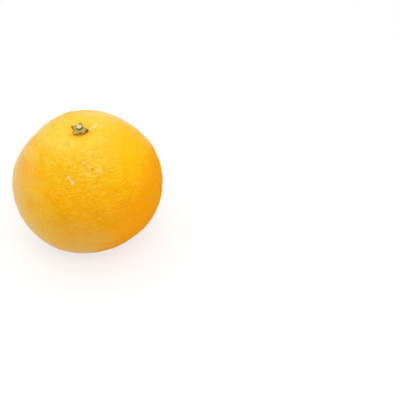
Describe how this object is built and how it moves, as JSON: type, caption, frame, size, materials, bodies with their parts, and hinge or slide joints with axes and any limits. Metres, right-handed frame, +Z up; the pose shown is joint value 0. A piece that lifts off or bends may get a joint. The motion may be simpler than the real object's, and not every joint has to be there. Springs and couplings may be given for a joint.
{
  "type": "orange",
  "caption": "Whole ripe orange, slightly wider than tall, with its star-shaped calyx and a clipped stem stub on top; rests on a small flat spot.",
  "frame": {"origin": "on the surface that the orange rests on, under the middle of its outline", "axes": "+Z up, from the blossom end to the stem end, which leans about four degrees towards -X and -Y; -Z out of the flat spot"},
  "size_m": [0.081, 0.08, 0.072],
  "materials": {
    "peel": "waxy, finely pitted yellow-orange citrus peel",
    "calyx": "dry khaki to brown sepals, matte",
    "stem": "fresh pale green cut end with a dark green bark rim"
  },
  "bodies": {
    "root": {"fruit": "peel", "calyx": "calyx", "stem_stub": "stem"}
  },
  "joints": []
}
